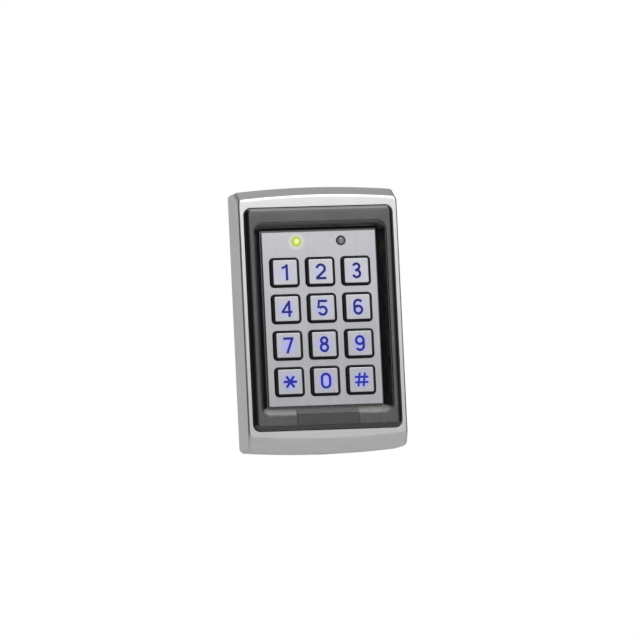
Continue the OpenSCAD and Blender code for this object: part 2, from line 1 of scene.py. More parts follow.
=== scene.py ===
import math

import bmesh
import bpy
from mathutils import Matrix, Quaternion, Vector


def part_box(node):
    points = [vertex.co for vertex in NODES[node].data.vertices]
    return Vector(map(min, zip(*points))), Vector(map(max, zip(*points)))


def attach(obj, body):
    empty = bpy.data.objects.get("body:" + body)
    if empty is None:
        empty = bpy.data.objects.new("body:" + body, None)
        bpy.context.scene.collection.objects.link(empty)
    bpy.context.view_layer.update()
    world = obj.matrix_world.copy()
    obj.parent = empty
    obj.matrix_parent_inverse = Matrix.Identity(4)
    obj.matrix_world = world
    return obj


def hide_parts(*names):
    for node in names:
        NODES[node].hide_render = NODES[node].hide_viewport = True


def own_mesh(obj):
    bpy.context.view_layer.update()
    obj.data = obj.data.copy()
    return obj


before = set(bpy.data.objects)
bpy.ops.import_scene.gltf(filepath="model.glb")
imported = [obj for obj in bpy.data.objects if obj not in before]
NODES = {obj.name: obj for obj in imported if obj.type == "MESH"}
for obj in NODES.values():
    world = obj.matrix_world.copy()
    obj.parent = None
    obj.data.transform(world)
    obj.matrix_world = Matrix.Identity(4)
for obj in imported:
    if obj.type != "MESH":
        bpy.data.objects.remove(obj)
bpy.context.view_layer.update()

# Keypad access reader. The frame stands upright: the reader faces -Y, +Z runs up the wall
# and the origin is the centre of the mounting plate's back. Sizes below are in millimetres;
# *_H is a height above the wall, which is -Y in the frame.

MM = 0.001
KEYS = ["1", "2", "3", "4", "5", "6", "7", "8", "9", "star", "0", "hash"]

# Camera: a long lens, turned to the reader's left, a little below it and rolled
VIEW_AZIMUTH = -12.8
VIEW_ELEVATION = -4.1
VIEW_ROLL = -2.72
VIEW_FIELD = 288.8
VIEW_AIM = (-1.47, -20.4, -0.95)
LENS = 400.0
SENSOR = 36.0
VIEW_DISTANCE = VIEW_FIELD * LENS / SENSOR


# ---------------------------------------------------------------- places and sizes

def box_mm(node):
    """Width, depth and height of a CAD node's box, and its centre, in millimetres."""
    low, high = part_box(node)
    return (high - low) / MM, (high + low) / 2 / MM


def place_at(x, up, h):
    """A point in the frame from its distances right, up the wall and out from the wall."""
    return Vector((x, -h, up)) * MM


HOUSING_W, RIM_H = box_mm("front_bezel")[0].xy
FRAME_SIZE = box_mm("inner_frame")[0]
CREST_H = -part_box("inner_frame")[0].y / MM
PLATE_H = -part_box("face_plate")[0].y / MM
SHELF_H = -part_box("face_plate")[1].y / MM
KEY_AT = {k: box_mm("key_cap_" + k)[1] for k in KEYS}
PITCH = KEY_AT["2"].x - KEY_AT["1"].x
LAMP_X = box_mm("status_lens_right")[1].x
LAMP_UP = box_mm("status_lens_right")[1].z
LENS_R = box_mm("status_lens_right")[0].x / 2
SILL_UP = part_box("face_plate")[0].z / MM - 0.3  # just under the plate's foot


# ---------------------------------------------------------------- node helpers

NOISE_LOW, NOISE_HIGH = 0.3, 0.7  # where most of a noise's values lie


def add(tree, kind, inputs=None, **attributes):
    """A shader node with its attributes set and its inputs linked or given a value."""
    made = tree.nodes.new("ShaderNode" + kind)
    for key, value in attributes.items():
        setattr(made, key, value)
    for key, value in (inputs or {}).items():
        if isinstance(value, bpy.types.NodeSocket):
            tree.links.new(value, made.inputs[key])
        else:
            made.inputs[key].default_value = value
    return made


def math_node(tree, operation, *values):
    return add(tree, "Math", dict(enumerate(values)), operation=operation).outputs[0]


def spread(tree, factor, low, high, start=0.0, end=1.0, smooth=False):
    """Turns a factor that runs from start to end into a value from low to high."""
    values = {"Value": factor, "From Min": start, "From Max": end, "To Min": low, "To Max": high}
    kind = "SMOOTHSTEP" if smooth else "LINEAR"
    return add(tree, "MapRange", values, interpolation_type=kind).outputs["Result"]


def place(tree, stretch=(1.0, 1.0, 1.0), uv=None):
    """Coordinates in millimetres: the row frame's, or a UV map's, each axis times stretch."""
    if uv:
        source = add(tree, "UVMap", uv_map=uv).outputs["UV"]
    else:
        source = add(tree, "TexCoord").outputs["Object"]
    scale = [s / MM for s in stretch]
    return add(tree, "Mapping", {"Vector": source, "Scale": scale}).outputs["Vector"]


def axes_mm(tree):
    """The row frame's X, Y and Z in millimetres, as sockets."""
    return add(tree, "SeparateXYZ", {"Vector": place(tree)}).outputs


def noise(tree, where, scale, detail=2.0, rough=0.5):
    values = {"Vector": where, "Scale": scale, "Detail": detail, "Roughness": rough}
    return add(tree, "TexNoise", values).outputs["Fac"]


def vary(tree, cloud, low, high):
    """Turns the middle of a noise's range into a value from low to high."""
    return spread(tree, cloud, low, high, NOISE_LOW, NOISE_HIGH)


def blend_colour(tree, factor, low, high, blend="MIX"):
    """Mixes two colours, each a socket or red, green and blue."""
    low, high = (c if isinstance(c, bpy.types.NodeSocket) else (*c, 1.0) for c in (low, high))
    values = {"Factor": factor, "A": low, "B": high}
    return add(tree, "Mix", values, data_type="RGBA", blend_type=blend).outputs["Result"]


def distance(tree, across, up):
    """The length of the line that runs this far across and up."""
    squares = [math_node(tree, "MULTIPLY", d, d) for d in (across, up)]
    return math_node(tree, "SQRT", math_node(tree, "ADD", *squares))


def bump(tree, height, depth):
    """Depth is in millimetres."""
    values = {"Height": height, "Distance": depth * MM, "Strength": 1.0}
    return add(tree, "Bump", values).outputs["Normal"]


def opened(look):
    """A material, its node tree and its shader."""
    return look, look.node_tree, look.node_tree.nodes["Principled BSDF"]


def new_look(name):
    look = bpy.data.materials.new(name)
    look.use_nodes = True
    return opened(look)


def fed_by(shader, socket):
    """The socket that one of the shader's inputs is linked to."""
    return shader.inputs[socket].links[0].from_socket


def feed(tree, shader, **sockets):
    """Links or sets the shader's inputs, whose names are written with underscores."""
    for key, value in sockets.items():
        socket = shader.inputs[key.replace("_", " ")]
        if isinstance(value, bpy.types.NodeSocket):
            tree.links.new(value, socket)
        else:
            socket.default_value = value


# ---------------------------------------------------------------- materials

STREAK_DEPTH = 0.004  # of the brushing, in millimetres


def brushed_metal(name, dark, light, roughness, grain, uv=None):
    """Metal with fine streaks: grain gives how often they change along each axis per mm."""
    look, tree, shader = new_look(name)
    fine = noise(tree, place(tree, grain, uv), 6.0, 2.0)
    coarse = noise(tree, place(tree, grain, uv), 1.1, 2.0)
    cloud = noise(tree, place(tree), 0.045, 3.0)
    streak = math_node(tree, "ADD", math_node(tree, "MULTIPLY", fine, 0.55),
                       math_node(tree, "MULTIPLY", coarse, 0.45))
    tone = math_node(tree, "ADD", math_node(tree, "MULTIPLY", streak, 0.7),
                     math_node(tree, "MULTIPLY", cloud, 0.3))
    feed(
        tree, shader,
        Base_Color=blend_colour(tree, vary(tree, tone, 0.0, 1.0), dark, light),
        Metallic=1.0,
        Roughness=vary(tree, streak, roughness - 0.06, roughness + 0.06),
        Normal=bump(tree, streak, STREAK_DEPTH),
    )
    return look


def moulded_plastic(name, colour, roughness, texture=0.5, depth=0.01, ior=1.5):
    """Moulded plastic: a fine spark-eroded texture, flow marks and a little dust."""
    look, tree, shader = new_look(name)
    where = place(tree)
    fine = noise(tree, where, 3.2 * texture, 4.0, 0.6)
    cloud = noise(tree, where, 0.06, 3.0)
    dust_and_highlight = noise(tree, where, 0.9, 5.0, 0.7)
    lighter = [min(1.0, c * 1.6 + 0.004) for c in colour]
    feed(
        tree, shader,
        Base_Color=blend_colour(tree, spread(tree, dust_and_highlight, 0.0, 1.0, 0.45, 0.8), colour, lighter),
        Roughness=vary(tree, cloud, roughness - 0.05, roughness + 0.07),
        IOR=ior,
        Normal=bump(tree, fine, depth),
    )
    return look


PAINTED_CREST_SHEEN = 0.3  # how strongly the painted sheen covers the crest's foot
FLAT_FRONT = (-0.998, -0.99)  # the normal's Y on the flat crest, and just off it
SILL_LEAN = (0.25, 0.6)  # the normal's Z where the painted highlight starts, and where it is full
PAINTED_PATCH_DULLS = 0.35  # roughness that the full painted highlight adds


def painted_sill_highlight(look, dust_and_highlight):
    """Paints a pale highlight, as a lighter colour, on the slope below the face plate, which
    faces up, and a thin painted sheen of the same colour on the sides and foot of the flat crest."""
    look, tree, shader = opened(look)
    normal = add(tree, "NewGeometry").outputs["Normal"]
    faces = add(tree, "SeparateXYZ", {"Vector": normal}).outputs
    faces_up, faces_back = faces["Z"], faces["Y"]
    height = axes_mm(tree)["Z"]
    patch = vary(tree, noise(tree, place(tree), 0.5, 3.0), 0.75, 1.0)
    # painted highlight: a pale colour on up-facing faces below the plate's foot
    sill_highlight = math_node(tree, "MULTIPLY", spread(tree, faces_up, 0.0, 1.0, *SILL_LEAN, smooth=True),
                     spread(tree, height, 1.0, 0.0, SILL_UP, SILL_UP + 1.0))
    # painted sheen: the same pale colour on the flat crest front, full on its lower half and fading
    # towards the top
    crest_sheen = math_node(tree, "MULTIPLY", spread(tree, faces_back, 1.0, 0.0, *FLAT_FRONT),
                     spread(tree, height, PAINTED_CREST_SHEEN, 0.0, 0.0, FRAME_SIZE.z / 2))
    cover = math_node(tree, "MULTIPLY", math_node(tree, "MAXIMUM", sill_highlight, crest_sheen), patch)
    dull = math_node(tree, "ADD", fed_by(shader, "Roughness"),
                     math_node(tree, "MULTIPLY", cover, PAINTED_PATCH_DULLS))
    feed(
        tree, shader,
        Base_Color=blend_colour(tree, cover, fed_by(shader, "Base Color"), dust_and_highlight),
        Roughness=dull,
    )
    return look


def rubber(name, colour):
    look, tree, shader = new_look(name)
    where = place(tree)
    grain = noise(tree, where, 5.0, 3.0)
    cloud = noise(tree, where, 0.3, 3.0)
    lighter = [c * 1.5 + 0.006 for c in colour]
    feed(
        tree, shader,
        Base_Color=blend_colour(tree, spread(tree, cloud, 0.0, 1.0, 0.35, 0.7), colour, lighter),
        Roughness=vary(tree, cloud, 0.55, 0.72),
        Normal=bump(tree, grain, 0.015),
    )
    return look


def key_offset(tree):
    """Distance in millimetres from the centre of the nearest key, across the face."""
    axes = axes_mm(tree)
    parts = []
    for axis, origin in (("X", KEY_AT["5"].x), ("Z", KEY_AT["5"].z)):
        turns = math_node(tree, "DIVIDE", math_node(tree, "SUBTRACT", axes[axis], origin), PITCH)
        near = math_node(tree, "SUBTRACT", turns, math_node(tree, "ROUND", turns))
        parts.append(math_node(tree, "MULTIPLY", near, PITCH))
    return distance(tree, *parts)


KEY_HALO = (1.0, 5.4)  # where a figure's spilt light starts to fade, and where it ends
LAMP_SPILL = 3.0  # how far the lit lamp's light reaches over the plate
BUSH_SPILL = 1.1
LENS_CORE = 0.2  # radius of the lit lens's brightest spot


def lit_cap_metal():
    """The caps' brushed metal. The figure's blue light spills round it, less in the top row."""
    look, tree, shader = opened(brushed_metal(
        "key_cap_metal", (0.48, 0.48, 0.52), (0.62, 0.62, 0.66), 0.34, (1.5, 1.5, 0.06)))
    halo = spread(tree, key_offset(tree), 1.0, 0.0, *KEY_HALO, smooth=True)
    patch = vary(tree, noise(tree, place(tree), 0.35, 2.0), 0.55, 1.0)
    row = spread(tree, axes_mm(tree)["Z"], 1.0, 0.4, KEY_AT["0"].z, KEY_AT["2"].z)
    glow = math_node(tree, "MULTIPLY", math_node(tree, "MULTIPLY", halo, patch), row)
    metal = fed_by(shader, "Base Color")
    feed(
        tree, shader,
        Base_Color=blend_colour(tree, glow, metal, (0.70, 0.74, 0.98), "MULTIPLY"),
        Emission_Color=blend_colour(tree, glow, (0.0, 0.0, 0.0), (0.10, 0.13, 1.0)),
        Emission_Strength=0.46,
    )
    return look


def legend_look():
    """Translucent figures, lit from behind and brighter towards the bottom row."""
    look, tree, shader = new_look("legend_lit")
    low = spread(tree, axes_mm(tree)["Z"], 1.0, 0.0, KEY_AT["0"].z, KEY_AT["2"].z)
    mottle = vary(tree, noise(tree, place(tree), 1.2, 2.0), -0.18, 0.18)
    glow = math_node(tree, "ADD", low, mottle)
    feed(
        tree, shader,
        Base_Color=blend_colour(tree, glow, (0.012, 0.012, 0.05), (0.012, 0.014, 0.07)),
        Roughness=spread(tree, mottle, 0.5, 0.62, -0.2, 0.2),
        IOR=1.3,
        Emission_Color=blend_colour(tree, glow, (0.010, 0.010, 0.13), (0.012, 0.018, 0.30)),
        Emission_Strength=1.0,
    )
    return look


def lamp_offset(tree, x):
    """Distance in millimetres from the axis of the lamp at x."""
    axes = axes_mm(tree)
    across = math_node(tree, "SUBTRACT", axes["X"], x)
    up = math_node(tree, "SUBTRACT", axes["Z"], LAMP_UP)
    return distance(tree, across, up)


def lens_look(name, colour, lit):
    look, tree, shader = new_look(name)
    cloud = noise(tree, place(tree), 1.6, 2.0)
    darker = [c * 0.72 for c in colour]
    feed(
        tree, shader,
        Base_Color=blend_colour(tree, vary(tree, cloud, 0.0, 1.0), darker, colour),
        Roughness=vary(tree, cloud, 0.1, 0.2),
        IOR=1.49,
        Coat_Weight=0.5,
        Coat_Roughness=0.05,
        Normal=bump(tree, cloud, 0.01),
    )
    if lit:
        core = spread(tree, lamp_offset(tree, -LAMP_X), 1.0, 0.0, LENS_CORE, LENS_R, smooth=True)
        feed(
            tree, shader,
            Emission_Color=blend_colour(tree, core, (0.42, 0.52, 0.07), (0.80, 0.92, 0.36)),
            Emission_Strength=0.85,
        )
    return look


def lit_bush_look():
    """The left bush, flooded by its lamp."""
    look, tree, shader = opened(moulded_plastic("bush_lit", (0.03, 0.03, 0.03), 0.4))
    glow = spread(tree, lamp_offset(tree, -LAMP_X), 1.0, 0.0, LENS_R, LENS_R + BUSH_SPILL,
                  smooth=True)
    feed(
        tree, shader,
        Emission_Color=blend_colour(tree, glow, (0.30, 0.34, 0.10), (0.62, 0.75, 0.10)),
        Emission_Strength=0.8,
    )
    return look


def plate_look():
    """The face plate's brushed metal, with the lit lamp's light spilling on it."""
    look, tree, shader = opened(brushed_metal(
        "brushed_plate", (0.44, 0.44, 0.47), (0.56, 0.56, 0.59), 0.36, (1.5, 1.5, 0.05)))
    glow = spread(tree, lamp_offset(tree, -LAMP_X), 1.0, 0.0, LENS_R, LENS_R + LAMP_SPILL,
                  smooth=True)
    feed(
        tree, shader,
        Emission_Color=blend_colour(tree, glow, (0.0, 0.0, 0.0), (0.34, 0.42, 0.04)),
        Emission_Strength=0.6,
    )
    return look


def board_look():
    """Green solder mask with copper tracks under it and tinned pads."""
    look, tree, shader = new_look("circuit_board")
    cells = add(tree, "TexVoronoi", {"Vector": place(tree), "Scale": 0.34}, distance="MANHATTAN",
                feature="DISTANCE_TO_EDGE").outputs["Distance"]
    track = spread(tree, cells, 1.0, 0.0, 0.03, 0.07)
    dots = add(tree, "TexVoronoi", {"Vector": place(tree), "Scale": 0.6,
                                    "Randomness": 0.35}).outputs["Distance"]
    via = spread(tree, dots, 1.0, 0.0, 0.09, 0.12)
    mask = blend_colour(tree, track, (0.006, 0.07, 0.03), (0.02, 0.16, 0.06))
    feed(
        tree, shader,
        Base_Color=blend_colour(tree, via, mask, (0.6, 0.56, 0.45)),
        Metallic=via,
        Roughness=vary(tree, noise(tree, place(tree), 0.8, 3.0), 0.22, 0.38),
        Normal=bump(tree, math_node(tree, "ADD", track, via), 0.03),
    )
    return look


def lamp_look():
    look, tree, shader = new_look("lamp_body")
    cloud = noise(tree, place(tree), 4.0, 2.0)
    feed(
        tree, shader,
        Base_Color=blend_colour(tree, cloud, (0.75, 0.72, 0.45), (0.9, 0.88, 0.66)),
        Roughness=spread(tree, cloud, 0.25, 0.45),
        Emission_Color=(0.3, 0.35, 1.0, 1.0),
        Emission_Strength=0.4,
    )
    return look


COIL_TURNS = 20.0  # radians per millimetre, as is the next
THREADS = 12.0


def coil_look():
    """Enamelled copper wire wound flat: turns run round the coil."""
    look, tree, shader = new_look("copper_coil")
    turns = math_node(tree, "SINE", math_node(tree, "MULTIPLY", axes_mm(tree)["Y"], COIL_TURNS))
    cloud = noise(tree, place(tree), 0.5, 3.0)
    feed(
        tree, shader,
        Base_Color=blend_colour(tree, cloud, (0.55, 0.20, 0.07), (0.75, 0.34, 0.13)),
        Metallic=1.0,
        Roughness=spread(tree, cloud, 0.22, 0.36),
        Normal=bump(tree, turns, 0.05),
    )
    return look


SPANGLE = 0.35  # per millimetre


def zinc_look(name, tint):
    """Zinc-plated steel: soft spangles, a faint blue cast and handling marks."""
    look, tree, shader = new_look(name)
    grains = add(tree, "TexVoronoi", {"Vector": place(tree), "Scale": SPANGLE}).outputs["Color"]
    grey = add(tree, "SeparateColor", {"Color": grains}).outputs["Red"]
    cloud = noise(tree, place(tree), 0.12, 4.0)
    marks = noise(tree, place(tree, (0.2, 2.0, 1.4)), 1.0, 4.0, 0.6)
    tone = math_node(tree, "ADD", math_node(tree, "MULTIPLY", grey, 0.4),
                     math_node(tree, "MULTIPLY", cloud, 0.6))
    darker = [c * 0.78 for c in tint]
    feed(
        tree, shader,
        Base_Color=blend_colour(tree, tone, darker, tint),
        Metallic=1.0,
        Roughness=spread(tree, math_node(tree, "ADD", tone, marks), 0.28, 0.48, 0.6, 1.4),
        Normal=bump(tree, marks, 0.012),
    )
    return look


def screw_look():
    """Plated screws: turned rings on the head and threads on the shank."""
    look, tree, shader = new_look("screw_steel")
    threads = math_node(tree, "SINE", math_node(tree, "MULTIPLY", axes_mm(tree)["Y"], THREADS))
    cloud = noise(tree, place(tree), 1.2, 3.0)
    feed(
        tree, shader,
        Base_Color=blend_colour(tree, cloud, (0.50, 0.50, 0.50), (0.66, 0.66, 0.65)),
        Metallic=1.0,
        Roughness=spread(tree, cloud, 0.2, 0.38),
        Normal=bump(tree, threads, 0.06),
    )
    return look


def stage_look():
    look, tree, shader = new_look("stage_floor")
    cloud = noise(tree, place(tree), 0.004, 2.0)
    feed(
        tree, shader,
        Base_Color=blend_colour(tree, cloud, (0.66, 0.66, 0.66), (0.70, 0.70, 0.70)),
        Roughness=spread(tree, cloud, 0.6, 0.75),
    )
    return look


LOOKS = {
    "housing": brushed_metal("satin_nickel", (0.59, 0.59, 0.592), (0.71, 0.71, 0.712), 0.36,
                             (0.05, 1.4, 1.0), uv="run"),
    # frame and plaque: a pale painted highlight on the slope below the plate and a painted sheen on
    # the crest
    "frame": painted_sill_highlight(moulded_plastic("black_frame", (0.006, 0.006, 0.007), 0.16, 0.6, 0.002,
                                        1.8), (0.24, 0.24, 0.235)),
    "plaque": painted_sill_highlight(moulded_plastic("plaque_plastic", (0.03, 0.03, 0.032), 0.36, 0.8, 0.008),
                         (0.15, 0.15, 0.147)),
    "plate": plate_look(),
    "cap": lit_cap_metal(),
    "legend": legend_look(),
    "key": moulded_plastic("key_plastic", (0.004, 0.004, 0.006), 0.45, 0.8, 0.006, 1.3),
    "lens_lit": lens_look("lens_lit", (0.40, 0.46, 0.12), True),
    "lens_clear": lens_look("lens_clear", (0.30, 0.30, 0.31), False),
    "bush": moulded_plastic("bush_black", (0.015, 0.015, 0.016), 0.35),
    "bush_lit": lit_bush_look(),
    "black": moulded_plastic("inner_black", (0.02, 0.02, 0.022), 0.45),
    "silicone": rubber("silicone_mat", (0.05, 0.05, 0.055)),
    "rubber": rubber("black_rubber", (0.02, 0.02, 0.02)),
    "cover": moulded_plastic("cover_plastic", (0.028, 0.028, 0.030), 0.5, 0.4, 0.03),
    "board": board_look(),
    "lamp": lamp_look(),
    "copper": coil_look(),
    "header": moulded_plastic("header_plastic", (0.72, 0.69, 0.58), 0.45),
    "zinc": zinc_look("zinc_steel", (0.62, 0.63, 0.66)),
    "screw": screw_look(),
}


# ---------------------------------------------------------------- dressing CAD nodes

WELD_GAP = 0.002
FLAT_ANGLE = math.radians(0.6)  # facets that meet flatter than this become one
BROKEN_ANGLE = math.radians(35.0)  # edges sharper than this are broken


def dress(name, look):
    """Gives a CAD node its material."""
    for mesh_slot in NODES[name].material_slots:
        mesh_slot.material = LOOKS[look]


def soften(name, width):
    """Breaks a CAD node's sharp edges, as a moulding tool or a tumbler would."""
    obj = NODES[name]
    weld = obj.modifiers.new("weld", "WELD")
    weld.merge_threshold = WELD_GAP * MM
    flat = obj.modifiers.new("flat", "DECIMATE")
    flat.decimate_type = "DISSOLVE"
    flat.angle_limit = FLAT_ANGLE
    edge = obj.modifiers.new("edge", "BEVEL")
    edge.width = width * MM
    edge.segments = 2
    edge.limit_method = "ANGLE"
    edge.angle_limit = BROKEN_ANGLE
    normal = obj.modifiers.new("normal", "WEIGHTED_NORMAL")
    normal.keep_sharp = True


# ---------------------------------------------------------------- mesh helpers

CORNER_STEPS = 10
END_STEPS = 36
SIDE_STEPS = 12
LATHE_STEPS = 48
SHARP_ANGLE = math.radians(32.0)  # edges sharper than this are shaded sharp
PAST = 1.0  # how far a cutting shape runs past a face


def corner(half_w, half_l, bulge, r):
    """A corner arc's centre, and how far it stops short of a quarter to meet the bulged end."""
    lean = 0.0
    for _ in range(4):
        x = half_w - r + r * math.sin(lean)
        lean = math.atan(2 * bulge * x / half_w ** 2)
    up = half_l - bulge * (x / half_w) ** 2 - r * math.cos(lean)
    return half_w - r, up, lean


def half_outline(half_w, half_l, bulge, r):
    """One end of an outline, from its right side round to its left side."""
    cx, cy, lean = corner(half_w, half_l, bulge, r)
    turn = math.pi / 2 - lean
    arc = [(cx + r * math.cos(turn * i / CORNER_STEPS), cy + r * math.sin(turn * i / CORNER_STEPS))
           for i in range(CORNER_STEPS + 1)]
    reach = arc[-1][0]
    end = [reach * (1 - 2 * i / END_STEPS) for i in range(1, END_STEPS)]
    end = [(x, half_l - bulge * (x / half_w) ** 2) for x in end]
    return arc + end + [(-x, y) for x, y in reversed(arc)]


def outline(w, l, top_r, bottom_r=None, bulge=0.0, shift=0.0):
    """A closed outline of fixed length, anticlockwise, so that any two can be joined."""
    top = half_outline(w / 2, l / 2 + shift, bulge, top_r)
    bottom = half_outline(w / 2, l / 2 - shift, bulge, bottom_r or top_r)
    bottom = [(-x, -y) for x, y in bottom]

    def side(a, b):
        return [(a[0] + (b[0] - a[0]) * i / SIDE_STEPS, a[1] + (b[1] - a[1]) * i / SIDE_STEPS)
                for i in range(1, SIDE_STEPS)]

    return top + side(top[-1], bottom[0]) + bottom + side(bottom[-1], top[0])


def mesh_from(name, points, faces, uvs=None):
    mesh = bpy.data.meshes.new(name)
    mesh.from_pydata(points, [], faces)
    if uvs:
        layer = mesh.uv_layers.new(name="run")
        for loop, uv in zip(layer.data, uvs):
            loop.uv = uv
    shape = bmesh.new()
    shape.from_mesh(mesh)
    bmesh.ops.recalc_face_normals(shape, faces=shape.faces)
    shape.to_mesh(mesh)
    shape.free()
    return mesh


def loft(name, rings):
    """A closed tube through rings of (outline, height above the wall), the last joined to the
    first. Its UV map "run" holds the distance round the ring and the distance along the profile."""
    count = len(rings[0][0])
    points = [place_at(x, up, h) for ring, h in rings for x, up in ring]
    around = [0.0]
    for i in range(count):
        around.append(around[-1] + (points[(i + 1) % count] - points[i]).length)
    along = [0.0]
    for r in range(len(rings)):
        step = points[((r + 1) % len(rings)) * count] - points[r * count]
        along.append(along[-1] + step.length)
    faces, uvs = [], []
    for r in range(len(rings)):
        for i in range(count):
            corners = [(r, i), (r, i + 1), (r + 1, i + 1), (r + 1, i)]
            faces.append([(a % len(rings)) * count + b % count for a, b in corners])
            uvs.extend((around[b], along[a]) for a, b in corners)
    return mesh_from(name, points, faces, uvs)


def band(first, second, count):
    """The faces between two rings of points, from the number of each ring's first point."""
    return [[first + i, first + (i + 1) % count, second + (i + 1) % count, second + i]
            for i in range(count)]


def stack(rings):
    """A closed solid through rings of points, with a flat face on each end."""
    count, rows = len(rings[0]), len(rings)
    faces = [face for row in range(rows - 1)
             for face in band(row * count, (row + 1) * count, count)]
    faces.append(list(range(count)))
    faces.append(list(range((rows - 1) * count, rows * count)))
    return [point for ring in rings for point in ring], faces


def lathe(profile, centre, axis="Y"):
    """A closed solid turned from (radius, distance) pairs about an axis through centre."""
    rings = []
    for r, d in profile:
        ring = []
        for i in range(LATHE_STEPS):
            a = 2 * math.pi * i / LATHE_STEPS
            across, over = r * math.cos(a) * MM, r * math.sin(a) * MM
            offset = (across, -d * MM, over) if axis == "Y" else (across, over, d * MM)
            ring.append(centre + Vector(offset))
        rings.append(ring)
    return stack(rings)


def slab_shape(w, l, r, low, high, x=0.0, up=0.0):
    """A rounded rectangle between two heights, as points and faces."""
    ring = outline(w, l, r)
    return stack([[place_at(px + x, py + up, h) for px, py in ring] for h in (low, high)])


def joined(name, shapes):
    """One mesh from several (points, faces)."""
    points, faces = [], []
    for some_points, some_faces in shapes:
        faces.extend([i + len(points) for i in face] for face in some_faces)
        points.extend(some_points)
    return mesh_from(name, points, faces)


def put(name, mesh):
    obj = bpy.data.objects.new(name, mesh)
    bpy.context.scene.collection.objects.link(obj)
    return obj


def cut(obj, shapes, operation="DIFFERENCE"):
    """Takes shapes away from obj, or joins them to it."""
    tool = put("tool", joined("tool", shapes))
    step = obj.modifiers.new("cut", "BOOLEAN")
    step.operation = operation
    step.solver = "EXACT"
    step.object = tool
    settle(obj)
    bpy.data.objects.remove(tool)


def settle(obj):
    """Applies obj's modifiers."""
    bpy.context.view_layer.update()
    graph = bpy.context.evaluated_depsgraph_get()
    mesh = bpy.data.meshes.new_from_object(
        obj.evaluated_get(graph), preserve_all_data_layers=True, depsgraph=graph)
    obj.modifiers.clear()
    obj.data = mesh


def finish_piece(obj, look, node):
    """Shades a new piece, gives it its material and its body, and hides the node it stands for."""
    obj.data.materials.clear()
    obj.data.materials.append(LOOKS[look])
    obj.data.shade_smooth()
    obj.data.set_sharp_from_angle(angle=SHARP_ANGLE)
    weighted = obj.modifiers.new("normal", "WEIGHTED_NORMAL")
    weighted.keep_sharp = True
    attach(obj, "housing")
    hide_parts(node)


def arc(start, end, steps):
    """Angles from start to end in degrees, as radians."""
    return [math.radians(start + (end - start) * i / steps) for i in range(steps + 1)]


# ---------------------------------------------------------------- housing

SIDE_DRAFT = 0.6
TOP_BEVEL = (4.3, 8.2)  # length up the wall, and fall back from the rim
BOTTOM_BEVEL = (5.4, 3.0)
END_BULGE = 1.7
TOP_CORNER_R = 2.0
BOTTOM_CORNER_R = 2.6
RIM_EDGE_R = 0.9
WALL_RINGS = 6
FOLD_ROUND = 0.2
OPENING = (68.9, 101.1, 3.3)  # width, length and corner radius, as are the next two
WAIST = (64.0, 89.4, 2.6)
BACK_RECESS = (68.8, 111.2, 2.6)
LEDGE_H = 7.4
SEAT_H = 16.9
BROKEN_EDGE = 0.25
TOP_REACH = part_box("front_bezel")[1].z / MM
BOTTOM_REACH = -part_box("front_bezel")[0].z / MM

COVER_SCREW_AT = (29.0, 52.7)
COVER_HOLE_R = 1.25
COVER_HOLE_DEPTH = 5.0
FRAME_SCREW_AT = (20.0, 47.5)
FRAME_SCREW_SEAT_H = 14.4
BOARD_SCREW_AT = (28.0, 41.0)
HEAD_HOLE_R = 2.15
CLEAR_HOLE_R = 1.2
SMALL_HOLE_R = 1.03
LOCK_H = 3.2
LOCK_HEAD_UP = -58.6
LOCK_HEAD_R = 2.8
LOCK_SHANK_R = 1.7
LOCK_SINK = 1.6
LOCK_REACH = 8.0  # how far the lock screw's holes run from the seat of its head
HOOK_X = 13.0
RIB = (10.0, 53.6, 0.3, 1.8)  # width, foot up the wall, and heights above the wall


def grown(size, by):
    """The outline of (width, length, corner radius), moved outwards all round."""
    return outline(size[0] + 2 * by, size[1] + 2 * by, size[2] + by)


def drawn_in(h, bevel):
    """How far a bevel of (length, fall back from the rim) has run in at height h."""
    length, drop = bevel
    return length * max(0.0, 1 - (RIM_H - h) / drop)


def housing_ring(h, inset):
    """The housing's outline at a height, drawn in by its bevels and draft and by inset."""
    top = TOP_REACH - drawn_in(h, TOP_BEVEL) - inset
    bottom = BOTTOM_REACH - drawn_in(h, BOTTOM_BEVEL) - inset
    width = HOUSING_W - SIDE_DRAFT * h / RIM_H - 2 * inset
    ring = outline(width, top + bottom, TOP_CORNER_R - inset, BOTTOM_CORNER_R - inset,
                   END_BULGE, (top - bottom) / 2)
    return ring, h


def housing_rings():
    edge = BROKEN_EDGE
    rings = [housing_ring(edge * (1 - math.sin(a)), edge * (1 - math.cos(a)))
             for a in reversed(arc(0, 90, 3))]
    folds = [RIM_H - TOP_BEVEL[1], RIM_H - BOTTOM_BEVEL[1], RIM_H - RIM_EDGE_R]
    for low, high in zip([edge] + folds, folds):
        rings += [housing_ring(low + (high - low) * i / WALL_RINGS, 0.0)
                  for i in range(1, WALL_RINGS)]
        if high < folds[-1]:
            rings += [housing_ring(high + d, 0.0) for d in (-FOLD_ROUND, 0.0, FOLD_ROUND)]
    rings += [housing_ring(RIM_H - RIM_EDGE_R * (1 - math.sin(a)), RIM_EDGE_R * (1 - math.cos(a)))
              for a in arc(0, 90, 8)]
    rings += [(grown(OPENING, edge * (1 - math.sin(a))), RIM_H - edge * (1 - math.cos(a)))
              for a in arc(0, 90, 3)]
    rings += [(grown(OPENING, 0.0), SEAT_H), (grown(WAIST, 0.0), SEAT_H)]
    rings += [(grown(WAIST, 0.0), LEDGE_H), (grown(BACK_RECESS, 0.0), LEDGE_H)]
    rings += [(grown(BACK_RECESS, edge * (1 - math.cos(a))), edge * (1 - math.sin(a)))
              for a in arc(0, 90, 3)]
    return rings


def pegs_at(at, r, low, high):
    """Four round pegs between two heights, one towards each corner."""
    return [lathe([(r, low), (r, high)], place_at(x * at[0], up * at[1], 0))
            for x in (-1, 1) for up in (-1, 1)]


